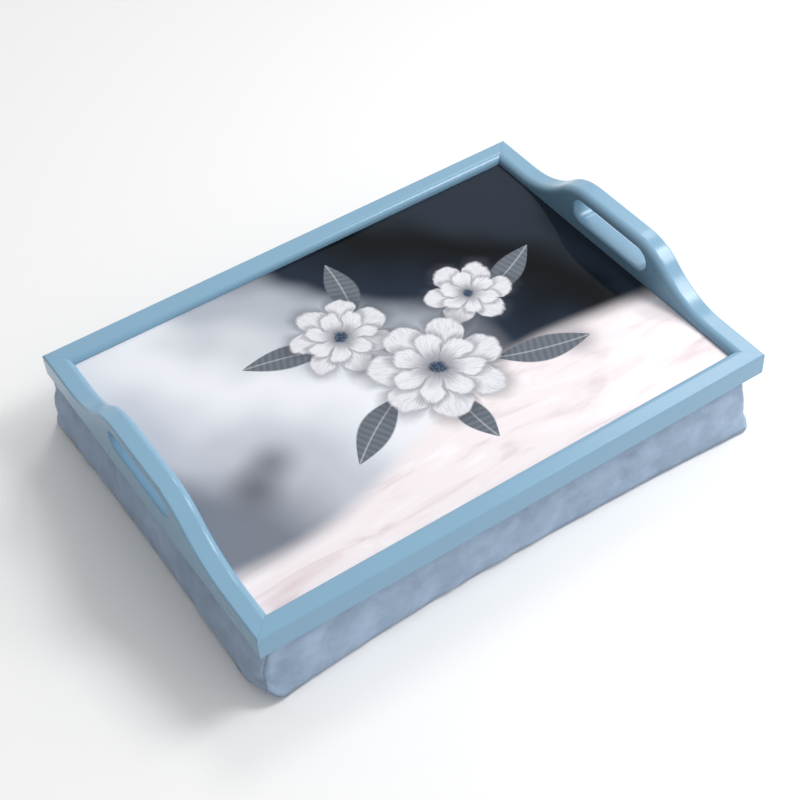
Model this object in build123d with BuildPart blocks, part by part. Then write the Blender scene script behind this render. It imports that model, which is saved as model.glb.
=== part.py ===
# Lap tray with a bead-filled cushion, in millimetres.
# +X runs along the tray's long side, +Y away from the sitter, +Z up.
# The origin is on the ground, under the centre of the tray.
import os
from math import atan, cos, pi, sin

from build123d import *

# Tray frame: four mitred rails
tray_length = 430.0
tray_width = 320.0
rail_width = 17.0
rail_height = 19.0
rail_bottom = 53.0
ridge_radius = 1.8
inner_edge_radius = 5.5

# Handles: each short rail rises in an ogee to a flat grip with a finger slot
handle_rise = 32.0
handle_grip_length = 60.0
handle_foot_length = 230.0
ogee_foot_share = 0.6
slot_length = 88.0
slot_height = 20.0
slot_edge_radius = 1.6
grip_thickness = 9.0

# Board in its groove, and the printed laminate on it, inside the rails
board_thickness = 3.0
print_thickness = 0.3
print_depth = 7.0
print_edge_gap = 0.3
groove_depth = 5.0
groove_end_gap = 0.5
groove_face_gap = 0.1

# V-shaped nails, pressed into each mitre from below
nail_leg = 5.0
nail_thickness = 0.8
nail_clearance = 1.5
nail_offsets = (4.5, 9.5)

# Cushion cover: how far its corners stand in from the tray's outside at the base seam and
# the top seam, and how far its top seam and shoulder lie below the rails
base_inset_ends, base_inset_sides = 4.0, 0.5
top_inset_ends, top_inset_sides = 9.0, 2.5
base_seam_height = 6.0
top_seam_drop = 1.8
shoulder_drop = 0.4
side_bulge = 1.3
cushion_shift = -4.0
corner_radius = 7.0
end_draw = 2.0
side_draw = 5.0

# Curves of the cover's base and crown, measured in from its edge
base_cut = 0.5
base_curve_share = 0.43
base_curve_inset = 6.0
base_flat_inset = 24.0
shoulder_inset = 3.0
crown_clearance = 3.5
crown_curve_drop, crown_curve_run = 1.8, 13.0
crown_flat_run = 32.0
corner_growth_share = 0.5

# Walls of the cover and of the bag inside it
cover_thickness = 1.2
liner_thickness = 0.4
liner_gap = 0.3
fill_gap = 0.1

# Hook tape glued under the board, loop tape sewn on the cover's top panel
tape_width = 20.0
tape_thickness = 1.2
tape_mesh_gap = 0.1
tape_edge_inset = 8.0
long_tape_share = 0.8
short_tape_share = 0.56

# Zip in the cover's back wall, and the wall's flare between the zip and each corner
flare_run = 36.8
zip_straight_end = 16.0
zip_tape_width = 11.0
zip_tape_thickness = 0.6
zip_tape_end = 12.0
zip_seam_gap = 0.9
window_height = 12.0
window_end = 6.0
coil_width = 2.2
coil_thickness = 1.6
coil_edge_radius = 0.5
stop_length = 2.4
stop_thickness = 1.8
stop_reach = 3.0

# Zip slider and its pull
slider_length = 11.0
slider_width = 8.8
slider_plate = 0.9
slider_gap = 0.25
slider_stop_gap = 0.3
flange_width = 1.2
back_plate_width = 7.2
post_length = 5.0
post_thickness = 0.5
bridge_length = 8.4
bridge_width = 1.8
bridge_thickness = 0.7
bridge_foot = 1.4
pull_bar_radius = 0.55
pull_gap = 0.2
pull_thickness = 1.0
pull_arm_width = 1.1
pull_neck = 5.0
pull_length = 24.0
pull_width = 6.4
pull_hole_radius = 1.5

# Overrun for every cut that goes right through
overrun = 5.0

# Heights and places that follow from the sizes above
ridge = rail_bottom + rail_height
handle_top = ridge + handle_rise
print_top = ridge - print_depth
board_top = print_top - print_thickness
board_bottom = board_top - board_thickness
half_length = tray_length / 2
half_width = tray_width / 2
opening_length = tray_length - 2 * rail_width
opening_width = tray_width - 2 * rail_width
slot_centre = handle_top - grip_thickness - slot_height / 2
nail_height = board_bottom - groove_face_gap - nail_clearance - rail_bottom

top_seam_height = rail_bottom - top_seam_drop
shoulder_height = rail_bottom - shoulder_drop
crown_height = board_bottom - 2 * tape_thickness - tape_mesh_gap
base_half_length = half_length - base_inset_ends
base_half_width = half_width - base_inset_sides
top_half_length = half_length - top_inset_ends
top_half_width = half_width - top_inset_sides
crown_foot_inset = rail_width - top_inset_sides + crown_clearance

mid_height = (base_seam_height + top_seam_height) / 2
mid_half_length = (base_half_length + top_half_length) / 2 + side_bulge
mid_half_width = (base_half_width + top_half_width) / 2 + side_bulge

zip_half = mid_half_length - corner_radius - flare_run - zip_straight_end
zip_length = 2 * zip_half
zip_wall = mid_half_width - side_draw
tape_reach = zip_seam_gap / 2 + zip_tape_width
wall_lean_share = (base_half_width - top_half_width) / (top_seam_height - base_seam_height)
wall_curve_share = (tape_reach / (top_seam_height - mid_height)) ** 2
zip_recess = wall_lean_share * tape_reach + side_bulge * wall_curve_share + fill_gap
tape_face = zip_wall - cover_thickness - zip_recess
tape_back = tape_face - zip_tape_thickness
coil_face = tape_face + coil_thickness
back_plate_inner = tape_back - slider_gap - slider_plate
liner_inset = zip_wall - back_plate_inner + liner_gap
slider_face = coil_face + slider_gap + slider_plate
pull_axis = slider_face + pull_gap + pull_bar_radius
slider_rest = cushion_shift - zip_half + slider_stop_gap + slider_length / 2

os.makedirs("parts", exist_ok=True)


def finish(piece, name):
    """Label a finished piece and write it."""
    piece.part.label = name
    export_step(piece.part, f"parts/{name}.step")


# V-shaped nails: each has one leg in either rail, and stands up from the rails' underside
with BuildPart() as corner_v_nails:
    for side_x in (-1, 1):
        for side_y in (-1, 1):
            for offset in nail_offsets:
                corner_x = side_x * (half_length - offset)
                corner_y = side_y * (half_width - offset)
                with BuildSketch(Plane.XY.offset(rail_bottom)):
                    with BuildLine():
                        Polyline(
                            (corner_x, corner_y),
                            (corner_x - side_x * nail_leg, corner_y),
                            (corner_x - side_x * nail_leg, corner_y - side_y * nail_thickness),
                            (corner_x - side_x * nail_thickness, corner_y - side_y * nail_thickness),
                            (corner_x - side_x * nail_thickness, corner_y - side_y * nail_leg),
                            (corner_x, corner_y - side_y * nail_leg),
                            close=True,
                        )
                    make_face()
                extrude(amount=nail_height)

# Space that the board takes up in the rails, with its gaps
with BuildPart() as board_space:
    with BuildSketch(Plane.XY.offset(board_bottom - groove_face_gap)):
        Rectangle(opening_length + 2 * groove_depth, opening_width + 2 * groove_depth)
    extrude(amount=board_thickness + 2 * groove_face_gap)


def long_rail(side):
    """One long rail, at the front (-1) or the back (1), mitred at both ends."""
    with BuildPart() as rail:
        with BuildSketch(Plane.YZ.offset(-half_length)):
            with Locations((side * (half_width - rail_width / 2), rail_bottom + rail_height / 2)):
                Rectangle(rail_width, rail_height)
        extrude(amount=tray_length)
        for group, radius in ((0, ridge_radius), (-1, inner_edge_radius)):
            top_edges = rail.edges().filter_by(Axis.X).group_by(Axis.Z)[-1].sort_by(Axis.Y)
            fillet(top_edges[group if side < 0 else -1 - group], radius=radius)
        with BuildSketch(Plane.XY):
            with BuildLine():
                Polyline(
                    (-half_length, side * half_width),
                    (half_length, side * half_width),
                    (half_length - rail_width, side * (half_width - rail_width)),
                    (rail_width - half_length, side * (half_width - rail_width)),
                    close=True,
                )
            make_face()
        extrude(amount=ridge, mode=Mode.INTERSECT)
        add(board_space.part, mode=Mode.SUBTRACT)
        add(corner_v_nails.part, mode=Mode.SUBTRACT)
    return rail


def handle_rail(side):
    """One short rail with its handle, at the left (-1) or the right (1), mitred at both ends."""
    run = (handle_foot_length - handle_grip_length) / 2
    sweep_angle = 2 * atan(handle_rise / run)
    foot_radius = ogee_foot_share * run / sin(sweep_angle)
    foot_half = handle_foot_length / 2
    grip_half = handle_grip_length / 2
    bend_place = foot_half - foot_radius * sin(sweep_angle)
    bend_height = ridge + foot_radius * (1 - cos(sweep_angle))
    outer_face = side * half_length
    with BuildPart() as rail:
        with BuildSketch(Plane.YZ.offset(min(outer_face, outer_face - side * rail_width))):
            with BuildLine():
                Polyline(
                    (-foot_half, ridge),
                    (-half_width, ridge),
                    (-half_width, rail_bottom),
                    (half_width, rail_bottom),
                    (half_width, ridge),
                    (foot_half, ridge),
                )
                TangentArc((foot_half, ridge), (bend_place, bend_height), tangent=(-1, 0))
                TangentArc(
                    (bend_place, bend_height),
                    (grip_half, handle_top),
                    tangent=(-cos(sweep_angle), sin(sweep_angle)),
                )
                Line((grip_half, handle_top), (-grip_half, handle_top))
                TangentArc((-grip_half, handle_top), (-bend_place, bend_height), tangent=(-1, 0))
                TangentArc(
                    (-bend_place, bend_height),
                    (-foot_half, ridge),
                    tangent=(-cos(sweep_angle), -sin(sweep_angle)),
                )
            make_face()
        extrude(amount=rail_width)
        for group, radius in ((0, ridge_radius), (-1, inner_edge_radius)):
            face_edges = rail.edges().group_by(Axis.X)[group if side < 0 else -1 - group]
            top_edges = face_edges.filter_by(Axis.Z, reverse=True).sort_by(Axis.Z)[1:]
            fillet(top_edges, radius=radius)
        with BuildSketch(Plane.XY):
            with BuildLine():
                Polyline(
                    (outer_face, -half_width),
                    (outer_face, half_width),
                    (outer_face - side * rail_width, half_width - rail_width),
                    (outer_face - side * rail_width, rail_width - half_width),
                    close=True,
                )
            make_face()
        extrude(amount=handle_top, mode=Mode.INTERSECT)
        with BuildSketch(Plane.YZ.offset(min(outer_face, outer_face - side * rail_width))):
            with Locations((0, slot_centre)):
                SlotOverall(slot_length, slot_height)
        extrude(amount=rail_width, mode=Mode.SUBTRACT)
        slot_edges = rail.edges().filter_by(
            lambda edge: abs(edge.center().Z - slot_centre) <= slot_height / 2
            and abs(edge.center().Y) <= slot_length / 2
            and abs(edge.tangent_at(0).X) < abs(edge.tangent_at(0).Y) + abs(edge.tangent_at(0).Z)
        )
        fillet(slot_edges, radius=slot_edge_radius)
        add(board_space.part, mode=Mode.SUBTRACT)
        add(corner_v_nails.part, mode=Mode.SUBTRACT)
    return rail


finish(corner_v_nails, "corner_v_nails")
front_rail = long_rail(-1)
finish(front_rail, "front_rail")
back_rail = long_rail(1)
finish(back_rail, "back_rail")
left_handle_rail = handle_rail(-1)
finish(left_handle_rail, "left_handle_rail")
right_handle_rail = handle_rail(1)
finish(right_handle_rail, "right_handle_rail")

board_length = opening_length + 2 * (groove_depth - groove_end_gap)
board_width = opening_width + 2 * (groove_depth - groove_end_gap)

# Hardboard panel, and the printed laminate on it
with BuildPart() as tray_board:
    with BuildSketch(Plane.XY.offset(board_bottom)):
        Rectangle(board_length, board_width)
    extrude(amount=board_thickness)
finish(tray_board, "tray_board")

with BuildPart() as print_sheet:
    with BuildSketch(Plane.XY.offset(board_top)):
        Rectangle(opening_length - 2 * print_edge_gap, opening_width - 2 * print_edge_gap)
    extrude(amount=print_thickness)
finish(print_sheet, "print_sheet")


def tape_layout():
    """Name, centre and sizes of each fastening tape, seen from above on the flat of the crown."""
    flat_half_length = top_half_length - crown_foot_inset - crown_flat_run
    flat_half_width = top_half_width - crown_foot_inset - crown_flat_run
    long_sizes = (2 * long_tape_share * flat_half_length, tape_width)
    short_sizes = (tape_width, 2 * short_tape_share * flat_half_width)
    reach_x = flat_half_length - tape_edge_inset - tape_width / 2
    reach_y = flat_half_width - tape_edge_inset - tape_width / 2
    return (
        ("front", (cushion_shift, -reach_y), long_sizes),
        ("back", (cushion_shift, reach_y), long_sizes),
        ("left", (cushion_shift - reach_x, 0), short_sizes),
        ("right", (cushion_shift + reach_x, 0), short_sizes),
    )


for place, centre, sizes in tape_layout():
    with BuildPart() as hook_strip:
        with BuildSketch(Plane.XY.offset(board_bottom)):
            with Locations(centre):
                Rectangle(*sizes)
        extrude(amount=-tape_thickness)
    finish(hook_strip, f"hook_strip_{place}")
    with BuildPart() as loop_strip:
        with BuildSketch(Plane.XY.offset(crown_height)):
            with Locations(centre):
                Rectangle(*sizes)
        extrude(amount=tape_thickness)
    finish(loop_strip, f"loop_strip_{place}")


def cushion_ring(height, half_x, half_y, radius):
    """Outline of the cushion at one height: four corners with the walls drawn in between them.

    The back wall is drawn in evenly along the zip, and flares only near its ends.
    """
    diagonal = radius * (1 - cos(pi / 4))
    with BuildSketch(Plane((cushion_shift, 0, height))) as ring:
        with BuildLine():
            ThreePointArc(
                (radius - half_x, -half_y), (0, side_draw - half_y), (half_x - radius, -half_y)
            )
            ThreePointArc(
                (half_x - radius, -half_y),
                (half_x - diagonal, diagonal - half_y),
                (half_x, radius - half_y),
            )
            ThreePointArc((half_x, radius - half_y), (half_x - end_draw, 0), (half_x, half_y - radius))
            ThreePointArc(
                (half_x, half_y - radius),
                (half_x - diagonal, half_y - diagonal),
                (half_x - radius, half_y),
            )
            flare = half_x - radius - flare_run
            TangentArc((flare, half_y - side_draw), (half_x - radius, half_y), tangent=(1, 0))
            Line((flare, half_y - side_draw), (-flare, half_y - side_draw))
            TangentArc((-flare, half_y - side_draw), (radius - half_x, half_y), tangent=(-1, 0))
            ThreePointArc(
                (radius - half_x, half_y),
                (diagonal - half_x, half_y - diagonal),
                (-half_x, half_y - radius),
            )
            ThreePointArc((-half_x, half_y - radius), (end_draw - half_x, 0), (-half_x, radius - half_y))
            ThreePointArc(
                (-half_x, radius - half_y),
                (diagonal - half_x, diagonal - half_y),
                (radius - half_x, -half_y),
            )
        make_face()
    return ring.sketch


def cushion_form(side_inset, face_inset):
    """Filled form of the cushion, set in from the cover's outside by two walls."""

    def ring(height, half_x, half_y, inset):
        radius = corner_radius + corner_growth_share * inset
        return cushion_ring(height, half_x - side_inset - inset, half_y - side_inset - inset, radius)

    def base_ring(height, inset):
        return ring(height, base_half_length, base_half_width, inset)

    def top_ring(height, inset):
        return ring(height - face_inset, top_half_length, top_half_width, inset)

    base_rings = (
        base_ring(face_inset - base_cut, base_flat_inset),
        base_ring(base_curve_share * base_seam_height + face_inset / 2, base_curve_inset),
        base_ring(base_seam_height, 0),
    )
    wall_rings = (
        base_ring(base_seam_height, 0),
        ring(mid_height, mid_half_length, mid_half_width, 0),
        top_ring(top_seam_height, 0),
    )
    shoulder_rings = (top_ring(top_seam_height, 0), top_ring(shoulder_height, shoulder_inset))
    crown_rings = (
        top_ring(shoulder_height, crown_foot_inset),
        top_ring(crown_height - crown_curve_drop, crown_foot_inset + crown_curve_run),
        top_ring(crown_height, crown_foot_inset + crown_flat_run),
    )
    with BuildPart() as form:
        for rings in (base_rings, wall_rings, shoulder_rings, crown_rings):
            loft(sections=rings)
    return form.part


cover_outside = cushion_form(0, 0)
cover_inside = cushion_form(cover_thickness, cover_thickness)
plan_reach = base_half_length + overrun

# Cover's skin, before it is cut into its sewn panels
with BuildPart() as cover_skin:
    add(cover_outside)
    add(cover_inside, mode=Mode.SUBTRACT)
    with BuildSketch(Plane.XY):
        Rectangle(2 * plan_reach + 2 * overrun, 2 * plan_reach)
    extrude(amount=crown_height, mode=Mode.INTERSECT)

with BuildPart() as cover_bottom:
    add(cover_skin.part)
    with BuildSketch(Plane.XY):
        Rectangle(2 * plan_reach + 2 * overrun, 2 * plan_reach)
    extrude(amount=base_seam_height, mode=Mode.INTERSECT)
finish(cover_bottom, "cover_bottom")

with BuildPart() as cover_top:
    add(cover_skin.part)
    with BuildSketch(Plane.XY.offset(top_seam_height)):
        Rectangle(2 * plan_reach + 2 * overrun, 2 * plan_reach)
    extrude(amount=crown_height, mode=Mode.INTERSECT)
finish(cover_top, "cover_top")


def gusset(side_x, side_y, low, high):
    """Side wall of the cover between two heights, cut at the upright seams in its corners."""
    outer_x, outer_y = base_half_length + overrun, base_half_width + overrun
    inner_x, inner_y = outer_x - base_half_width, outer_y - base_half_width
    if side_y:
        corners = ((-outer_x, outer_y), (outer_x, outer_y), (inner_x, inner_y), (-inner_x, inner_y))
        outline = [(cushion_shift + x, side_y * y) for x, y in corners]
    else:
        corners = ((outer_x, outer_y), (outer_x, -outer_y), (inner_x, -inner_y), (inner_x, inner_y))
        outline = [(cushion_shift + side_x * x, y) for x, y in corners]
    with BuildPart() as wall:
        add(cover_skin.part)
        with BuildSketch(Plane.XY.offset(low)):
            with BuildLine():
                Polyline(*outline, close=True)
            make_face()
        extrude(amount=high - low, mode=Mode.INTERSECT)
    return wall


for name, side_x, side_y in (("front", 0, -1), ("left", -1, 0), ("right", 1, 0)):
    finish(gusset(side_x, side_y, base_seam_height, top_seam_height), f"gusset_{name}")

# Back wall, in two panels that the zip joins, with a window where the zip shows
for name, low, high in (
    ("gusset_back_upper", mid_height, top_seam_height),
    ("gusset_back_lower", base_seam_height, mid_height),
):
    back_wall = gusset(0, 1, low, high)
    with BuildPart() as gusset_back:
        add(back_wall.part)
        with BuildSketch(Plane.XZ.offset(-tape_back)):
            with Locations((cushion_shift, mid_height)):
                Rectangle(zip_length + 2 * window_end, window_height)
        extrude(amount=tape_back - mid_half_width - overrun, mode=Mode.SUBTRACT)
    finish(gusset_back, name)

# Bag of beads inside the cover
face_gap = cover_thickness + liner_gap
with BuildPart() as bead_liner:
    add(cushion_form(liner_inset, face_gap))
    add(
        cushion_form(liner_inset + liner_thickness, face_gap + liner_thickness),
        mode=Mode.SUBTRACT,
    )
finish(bead_liner, "bead_liner")

fill_inset = liner_thickness + fill_gap
with BuildPart() as bead_fill:
    add(cushion_form(liner_inset + fill_inset, face_gap + fill_inset))
finish(bead_fill, "bead_fill")

# Zip: a woven tape and a coil on either side of the seam
for name, side in (("upper", 1), ("lower", -1)):
    with BuildPart() as zip_tape:
        with BuildSketch(Plane.XZ.offset(-tape_back)):
            with Locations((cushion_shift, mid_height + side * (tape_reach + zip_seam_gap / 2) / 2)):
                Rectangle(zip_length + 2 * zip_tape_end, zip_tape_width)
        extrude(amount=-zip_tape_thickness)
    finish(zip_tape, f"zip_tape_{name}")
    with BuildPart() as zip_coil:
        with BuildSketch(Plane.XZ.offset(-tape_face)):
            with Locations((cushion_shift, mid_height + side * (zip_seam_gap + coil_width) / 2)):
                Rectangle(zip_length, coil_width)
        extrude(amount=-coil_thickness)
        fillet(zip_coil.faces().sort_by(Axis.Y)[-1].edges().filter_by(Axis.X), radius=coil_edge_radius)
    finish(zip_coil, f"zip_coil_{name}")

# Stops: one on each tape where the zip closes, and one across both where it opens
with BuildPart() as zip_stops:
    stop_width = stop_reach - zip_seam_gap / 2
    with BuildSketch(Plane.XZ.offset(-tape_face)):
        with Locations(
            (cushion_shift - zip_half - stop_length / 2, mid_height + (stop_reach + zip_seam_gap / 2) / 2),
            (cushion_shift - zip_half - stop_length / 2, mid_height - (stop_reach + zip_seam_gap / 2) / 2),
        ):
            Rectangle(stop_length, stop_width)
        with Locations((cushion_shift + zip_half + stop_length / 2, mid_height)):
            Rectangle(stop_length, 2 * stop_reach)
    extrude(amount=-stop_thickness)
finish(zip_stops, "zip_stops")

# Slider: a front plate with flanges beside the coils, a back plate behind the tapes, a post
# that joins them through the seam, and the bridge that holds the pull
with BuildPart() as zip_slider:
    with BuildSketch(Plane.XZ.offset(-slider_face)):
        with Locations((slider_rest, mid_height)):
            RectangleRounded(slider_length, slider_width, slider_width / 4)
    extrude(amount=slider_plate)
    with BuildSketch(Plane.XZ.offset(slider_plate - slider_face)):
        with GridLocations(0, slider_width - flange_width, 1, 2):
            with Locations((slider_rest, mid_height)):
                Rectangle(slider_length - slider_width / 2, flange_width)
    extrude(amount=coil_thickness)
    with BuildSketch(Plane.XZ.offset(-back_plate_inner)):
        with Locations((slider_rest, mid_height)):
            RectangleRounded(slider_length, back_plate_width, back_plate_width / 4)
    extrude(amount=-slider_plate)
    with BuildSketch(Plane.XZ.offset(-back_plate_inner)):
        with Locations((slider_rest, mid_height)):
            Rectangle(post_length, post_thickness)
    extrude(amount=back_plate_inner - slider_face)
    bridge_space = 2 * (pull_bar_radius + pull_gap)
    with BuildSketch(Plane.XZ.offset(-slider_face)):
        with Locations((slider_rest, mid_height)):
            Rectangle(bridge_length, bridge_width)
    extrude(amount=-bridge_space - bridge_thickness)
    with BuildSketch(Plane.XZ.offset(-slider_face)):
        with Locations((slider_rest, mid_height)):
            Rectangle(bridge_length - 2 * bridge_foot, bridge_width)
    extrude(amount=-bridge_space, mode=Mode.SUBTRACT)
finish(zip_slider, "zip_slider")

# Pull: a bar under the bridge, an arm on either side of it, and a flat tab with a hole
with BuildPart() as zip_pull:
    bar_length = bridge_width + 2 * (pull_gap + pull_arm_width)
    arm_centre = bar_length / 2 - pull_arm_width / 2
    with BuildSketch(Plane.XY.offset(mid_height - bar_length / 2)):
        with Locations((slider_rest, pull_axis)):
            Circle(pull_bar_radius)
    extrude(amount=bar_length)
    with BuildSketch(Plane.XZ.offset(-pull_axis - pull_thickness / 2)):
        with Locations((slider_rest + pull_neck / 2, mid_height)):
            with GridLocations(0, 2 * arm_centre, 1, 2):
                Rectangle(pull_neck, pull_arm_width)
        with Locations((slider_rest + (pull_neck + pull_length) / 2, mid_height)):
            RectangleRounded(pull_length - pull_neck, pull_width, pull_width / 4)
        with Locations((slider_rest + pull_length - pull_width / 2, mid_height)):
            Circle(pull_hole_radius, mode=Mode.SUBTRACT)
    extrude(amount=pull_thickness)
finish(zip_pull, "zip_pull")
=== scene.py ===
import math

import bmesh
import bpy
from mathutils import Matrix, Vector, noise


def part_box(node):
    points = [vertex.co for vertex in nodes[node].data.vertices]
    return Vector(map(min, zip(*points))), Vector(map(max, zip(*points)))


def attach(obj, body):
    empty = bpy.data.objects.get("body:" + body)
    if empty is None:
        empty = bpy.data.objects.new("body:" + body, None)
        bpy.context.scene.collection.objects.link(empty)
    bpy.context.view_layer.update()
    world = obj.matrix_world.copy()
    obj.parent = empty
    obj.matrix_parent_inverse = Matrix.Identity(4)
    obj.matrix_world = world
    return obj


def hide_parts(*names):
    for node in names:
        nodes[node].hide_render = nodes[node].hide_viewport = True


# Lap tray with a bead-filled cushion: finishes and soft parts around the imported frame.
# Metres throughout. +X runs along the tray's long side, +Y away from the sitter, +Z up.
MM = 0.001

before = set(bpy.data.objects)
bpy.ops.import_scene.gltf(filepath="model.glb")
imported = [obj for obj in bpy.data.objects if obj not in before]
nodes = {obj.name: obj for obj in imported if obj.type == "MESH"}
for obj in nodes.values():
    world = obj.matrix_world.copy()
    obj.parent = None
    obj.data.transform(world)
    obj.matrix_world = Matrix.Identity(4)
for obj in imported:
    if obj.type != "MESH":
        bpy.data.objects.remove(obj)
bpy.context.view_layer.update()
scene = bpy.context.scene

# Places read from the frame
front_low, front_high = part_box("front_rail")
half_length, half_width = front_high.x, -front_low.y
rail_bottom, ridge = front_low.z, front_high.z
print_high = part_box("print_sheet")[1]
board_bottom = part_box("tray_board")[0].z
base_low, base_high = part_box("cover_bottom")
crown_low, crown_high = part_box("cover_top")
wall_low, wall_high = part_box("gusset_front")
zip_middle = (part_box("zip_coil_lower")[1].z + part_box("zip_coil_upper")[0].z) / 2
tape_half = zip_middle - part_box("zip_tape_lower")[0].z

# Cushion sizes
cushion_shift = (base_low.x + base_high.x) / 2
base_half_x, base_half_y = (base_high.x - base_low.x) / 2, base_high.y
top_half_x, top_half_y = (crown_high.x - crown_low.x) / 2, crown_high.y
base_seam, top_seam, crown_top = 2.5 * MM, crown_low.z, crown_high.z
wall_bulge = (wall_high.x - wall_low.x) / 2 - (base_half_x + top_half_x) / 2
corner_radius = 7 * MM
side_draw, end_draw = 5 * MM, 2 * MM
zip_flare = 36.8 * MM
shoulder_run, shoulder_rise = 3 * MM, 1.4 * MM
crown_foot, crown_run, crown_power = 18 * MM, 32 * MM, 2.2
corner_blend = 20 * MM
base_curve_run = 19 * MM
seam_crease, seam_margin, seam_sink = 0.6, 1 * MM, 0.7 * MM
cover_thickness = 1.2 * MM
bag_inset, bag_face_inset, bag_lump, bag_lumps = 4.4 * MM, 1.6 * MM, 0.5 * MM, 60

# Window of the zip, and how far round it the wall is held flat or kept off the tapes
window_half, window_reach = 6 * MM, 156 * MM
window_margin, pull_overhang, tape_margin = 1 * MM, 17 * MM, 4.5 * MM

# Room above the cover, and how far in it counts as under a rail or as on the floor
rail_clearance, board_clearance = 0.25 * MM, 0.6 * MM
rail_overlap, floor_margin = 1 * MM, 0.2 * MM

# How the filled cushion sits: its foot spreads past the tray and its front left corner lifts
left_spread, side_spread, right_sag, back_swell = 4.5 * MM, 5.0 * MM, 2.8 * MM, 4.0 * MM
front_sag, sag_place, sag_share = 1.8 * MM, 0.1, 0.36
foot_power, middle_spread, right_sag_turn = 1.5, 0.1, 2.4
lifted_corner = Vector((-225, -164, 0)) * MM
foot_tip, tip_reach, tip_push = -204 * MM, 8 * MM, 2.2 * MM
lift_reach, lift_height = Vector((20, 28, 0)) * MM, 38 * MM
corner_lift, corner_draw = 22 * MM, 4 * MM
dimple_place, dimple_reach, dimple_depth = Vector((-201, -160, 29)) * MM, 11 * MM, 6.5 * MM

# Puckers of the cloth: ripples a metre across and up, and where their noise starts
fine_ripples, broad_ripples = (55, 18, 3.1), (21, 26, 7.7)
fine_height, seam_height, broad_height = 0.35 * MM, 0.75 * MM, 0.9 * MM
seam_ripple_reach = 9 * MM


def linear(*channels):
    """Colour written as it looks, from 0 to 255 a channel, as the shader wants it."""
    shares = [channel / 255 for channel in channels]
    return tuple(s / 12.92 if s <= 0.04045 else ((s + 0.055) / 1.055) ** 2.4 for s in shares) + (1,)


# Node trees

def put(tree, kind, sockets=None, **settings):
    """Add a node. sockets gives its inputs, each a plain value or the output that feeds it."""
    made = tree.nodes.new(kind)
    for name, value in settings.items():
        setattr(made, name, value)
    for key, value in (sockets or {}).items():
        if isinstance(value, bpy.types.NodeSocket):
            tree.links.new(value, made.inputs[key])
        else:
            made.inputs[key].default_value = value
    return made


def maths(tree, operation, a, b=0.0, c=0.0, clamp=False):
    sockets = {0: a, 1: b, 2: c}
    return put(tree, "ShaderNodeMath", sockets, operation=operation, use_clamp=clamp).outputs[0]


def plus(tree, a, b, clamp=False):
    return maths(tree, "ADD", a, b, clamp=clamp)


def minus(tree, a, b):
    return maths(tree, "SUBTRACT", a, b)


def times(tree, a, b):
    return maths(tree, "MULTIPLY", a, b)


def split(tree, vector):
    return put(tree, "ShaderNodeSeparateXYZ", {0: vector}).outputs


def vector_maths(tree, operation, a, b):
    return put(tree, "ShaderNodeVectorMath", {0: a, 1: b}, operation=operation).outputs[0]


def smooth_step(tree, value, low, high, to_low=0.0, to_high=1.0):
    sockets = {"Value": value, "From Min": low, "From Max": high, "To Min": to_low, "To Max": to_high}
    return put(tree, "ShaderNodeMapRange", sockets, interpolation_type="SMOOTHSTEP").outputs[0]


def blend_colour(tree, share, a, b):
    return put(tree, "ShaderNodeMix", {0: share, 6: a, 7: b}, data_type="RGBA").outputs[2]


def noise_value(tree, place, scale, detail=2.0, roughness=0.5, distortion=0.0):
    sockets = {"Vector": place, "Scale": scale, "Detail": detail, "Roughness": roughness,
               "Distortion": distortion}
    return put(tree, "ShaderNodeTexNoise", sockets).outputs["Fac"]


def stretched(tree, place, scale):
    return put(tree, "ShaderNodeMapping", {"Vector": place, "Scale": scale}).outputs[0]


def new_group(name, inputs, outputs):
    """Start a node group. inputs maps a name to its default, outputs a name to its kind."""
    tree = bpy.data.node_groups.new(name, "ShaderNodeTree")
    kinds = {float: "NodeSocketFloat", tuple: "NodeSocketColor", Vector: "NodeSocketVector"}
    for label, default in inputs.items():
        socket = tree.interface.new_socket(label, in_out="INPUT", socket_type=kinds[type(default)])
        socket.default_value = default
    for label, kind in outputs.items():
        tree.interface.new_socket(label, in_out="OUTPUT", socket_type=kinds[kind])
    return tree, put(tree, "NodeGroupInput").outputs


def use_group(tree, group, sockets):
    return put(tree, "ShaderNodeGroup", sockets, node_tree=group).outputs


def mottle_group():
    """Colour that drifts between darker and lighter patches, with a finer grain over it."""
    tree, given = new_group(
        "mottle",
        {"Place": Vector(), "Colour": (1.0, 1.0, 1.0, 1.0), "Patch scale": 20.0, "Patch depth": 0.1,
         "Grain scale": 400.0, "Grain depth": 0.05},
        {"Colour": tuple, "Patch": float, "Grain": float},
    )
    patch = noise_value(tree, given["Place"], given["Patch scale"], 3.0, 0.55)
    grain = noise_value(tree, given["Place"], given["Grain scale"], 3.0, 0.6)
    patch_swing = times(tree, minus(tree, patch, 0.5), given["Patch depth"])
    grain_swing = times(tree, minus(tree, grain, 0.5), given["Grain depth"])
    level = plus(tree, plus(tree, patch_swing, grain_swing), 1.0)
    shaded = vector_maths(tree, "MULTIPLY", given["Colour"], level)
    put(tree, "NodeGroupOutput", {"Colour": shaded, "Patch": patch, "Grain": grain})
    return tree


def weave_group():
    """Plain weave: threads that pass over and under each other, as a height from 0 to 1."""
    tree, given = new_group(
        "weave", {"Place": Vector(), "Threads per metre": 1500.0, "Unevenness": 0.2}, {"Height": float}
    )
    stray = noise_value(tree, given["Place"], 90.0, 2.0)
    bent = vector_maths(
        tree, "ADD", vector_maths(tree, "MULTIPLY", given["Place"], given["Threads per metre"]),
        times(tree, stray, given["Unevenness"]),
    )
    parts = split(tree, bent)
    waves = [maths(tree, "SINE", times(tree, part, math.pi)) for part in parts]
    crossed = times(tree, plus(tree, waves[0], waves[2]), waves[1])
    height = maths(tree, "MULTIPLY_ADD", crossed, 0.25, 0.5)
    put(tree, "NodeGroupOutput", {"Height": height})
    return tree


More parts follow.
